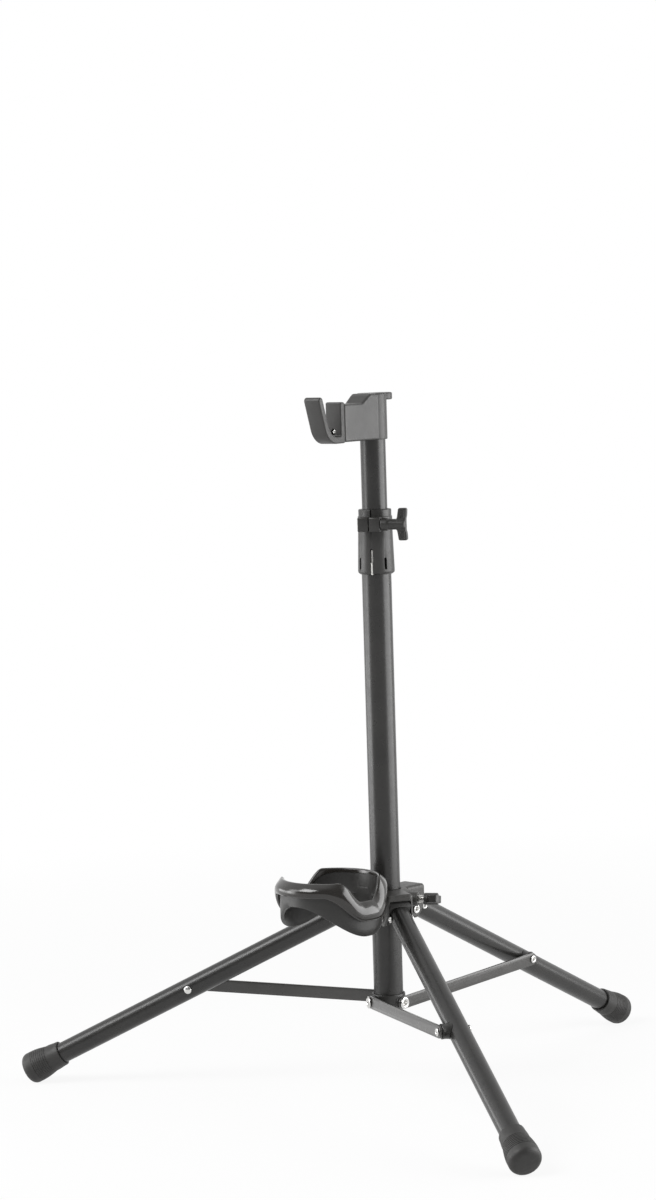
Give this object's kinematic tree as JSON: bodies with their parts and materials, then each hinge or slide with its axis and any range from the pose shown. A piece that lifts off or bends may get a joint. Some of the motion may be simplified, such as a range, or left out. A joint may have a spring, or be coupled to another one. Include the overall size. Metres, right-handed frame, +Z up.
{
  "type": "tenor horn stand",
  "caption": "Folding tripod stand for a tenor horn, with a sliding hub and saddle-shaped cradle, a height clamp and a turning head with a hook.",
  "frame": {"origin": "on the floor, under the middle of the three feet's bounding box", "axes": "+Z up along the column, -Y to the front, where the cradle and the hook are"},
  "size_m": [0.6418, 0.5598, 0.6653],
  "materials": {
    "column_paint": "satin black paint",
    "leg_paint": "satin black paint",
    "strut_paint": "satin black-grey paint",
    "base_plastic": "moulded, matte",
    "clamp_plastic": "moulded, matte",
    "hub_plastic": "moulded, satin",
    "head_plastic": "moulded, satin",
    "cradle_plastic": "moulded, satin",
    "lip_gloss": "glossy",
    "hook_plastic": "soft coating, matte",
    "foot_rubber": "matte rubber with fine ribs",
    "pale_nylon": "moulded, satin",
    "chrome": "polished"
  },
  "bodies": {
    "column": {"lower_tube": "column_paint", "base_collar": "base_plastic", "collar_rivet_rear": "chrome", "collar_rivet_left": "chrome", "collar_rivet_front": "chrome", "clamp": "clamp_plastic", "clamp_nut": "chrome", "clamp_key": "pale_nylon"},
    "hub": {"hub": "hub_plastic", "pivot_rivet_rear": "chrome", "pivot_rivet_left": "chrome", "pivot_rivet_front": "chrome", "cradle": "cradle_plastic", "cradle_lip": "lip_gloss", "cradle_screw_left": "chrome", "cradle_screw_right": "chrome"},
    "hub_knob": {"hub_screw": "chrome", "hub_wing": "clamp_plastic"},
    "clamp_knob": {"clamp_screw": "chrome", "clamp_wing": "clamp_plastic"},
    "glide": {"tube_glide": "base_plastic"},
    "extension": {"upper_tube": "column_paint", "head": "head_plastic", "hook": "hook_plastic", "hook_screw": "chrome"},
    "leg_rear": {"leg_tube_rear": "leg_paint", "foot_cap_rear": "foot_rubber", "leg_plug_rear": "base_plastic", "plug_rivet_rear": "chrome", "leg_rivet_rear": "chrome", "strut_spacer_rear": "base_plastic"},
    "strut_rear_arm": {"strut_rear": "strut_paint", "strut_rivet_rear": "chrome"},
    "leg_left": {"leg_tube_left": "leg_paint", "foot_cap_left": "foot_rubber", "leg_plug_left": "base_plastic", "plug_rivet_left": "chrome", "leg_rivet_left": "chrome", "strut_spacer_left": "base_plastic"},
    "strut_left_arm": {"strut_left": "strut_paint", "strut_rivet_left": "chrome"},
    "leg_front": {"leg_tube_front": "leg_paint", "foot_cap_front": "foot_rubber", "leg_plug_front": "base_plastic", "plug_rivet_front": "chrome", "leg_rivet_front": "chrome", "strut_spacer_front": "base_plastic"},
    "strut_front_arm": {"strut_front": "strut_paint", "strut_rivet_front": "chrome"}
  },
  "joints": [
    {"name": "hub_slide", "type": "slide", "parent": "column", "child": "hub", "axis": [0, 0, 1], "range_m": [0, 0.2888]},
    {"name": "extension_slide", "type": "slide", "parent": "column", "child": "glide", "axis": [0, 0, 1], "range_m": [-0.06, 0.145]},
    {"name": "extension_turn", "type": "hinge", "parent": "glide", "child": "extension", "pos_m": [0, -0.08717, 0.5], "axis": [0, 0, 1], "continuous": true},
    {"name": "hub_screw_turn", "type": "hinge", "parent": "hub", "child": "hub_knob", "pos_m": [0.0323, -0.06852, 0.18347], "axis": [0.866, 0.5, 0], "range_deg": [0, 360]},
    {"name": "clamp_screw_turn", "type": "hinge", "parent": "column", "child": "clamp_knob", "pos_m": [0.00922, -0.10526, 0.5424], "axis": [0.891, 0.454, 0], "range_deg": [0, 360]},
    {"name": "leg_hinge_rear", "type": "hinge", "parent": "hub", "child": "leg_rear", "pos_m": [0, -0.05917, 0.17067], "axis": [-1, 0, 0], "range_deg": [0, 61.31]},
    {"name": "strut_hinge_rear", "type": "hinge", "parent": "column", "child": "strut_rear_arm", "pos_m": [0, -0.08717, 0.0851], "axis": [1, 0, 0], "range_deg": [0, 74.71]},
    {"name": "leg_hinge_left", "type": "hinge", "parent": "hub", "child": "leg_left", "pos_m": [-0.02425, -0.10117, 0.17067], "axis": [0.5, -0.866, 0], "range_deg": [0, 61.31]},
    {"name": "strut_hinge_left", "type": "hinge", "parent": "column", "child": "strut_left_arm", "pos_m": [0, -0.08717, 0.0851], "axis": [-0.5, 0.866, 0], "range_deg": [0, 74.71]},
    {"name": "leg_hinge_front", "type": "hinge", "parent": "hub", "child": "leg_front", "pos_m": [0.02425, -0.10117, 0.17067], "axis": [0.5, 0.866, 0], "range_deg": [0, 61.31]},
    {"name": "strut_hinge_front", "type": "hinge", "parent": "column", "child": "strut_front_arm", "pos_m": [0, -0.08717, 0.0851], "axis": [-0.5, -0.866, 0], "range_deg": [0, 74.71]}
  ],
  "couplings": [
    {"joint": "leg_hinge_rear", "follows": "hub_slide", "rad_per_m": 3.7046},
    {"joint": "strut_hinge_rear", "follows": "hub_slide", "rad_per_m": 4.5144},
    {"joint": "leg_hinge_left", "follows": "hub_slide", "rad_per_m": 3.7046},
    {"joint": "strut_hinge_left", "follows": "hub_slide", "rad_per_m": 4.5144},
    {"joint": "leg_hinge_front", "follows": "hub_slide", "rad_per_m": 3.7046},
    {"joint": "strut_hinge_front", "follows": "hub_slide", "rad_per_m": 4.5144}
  ]
}
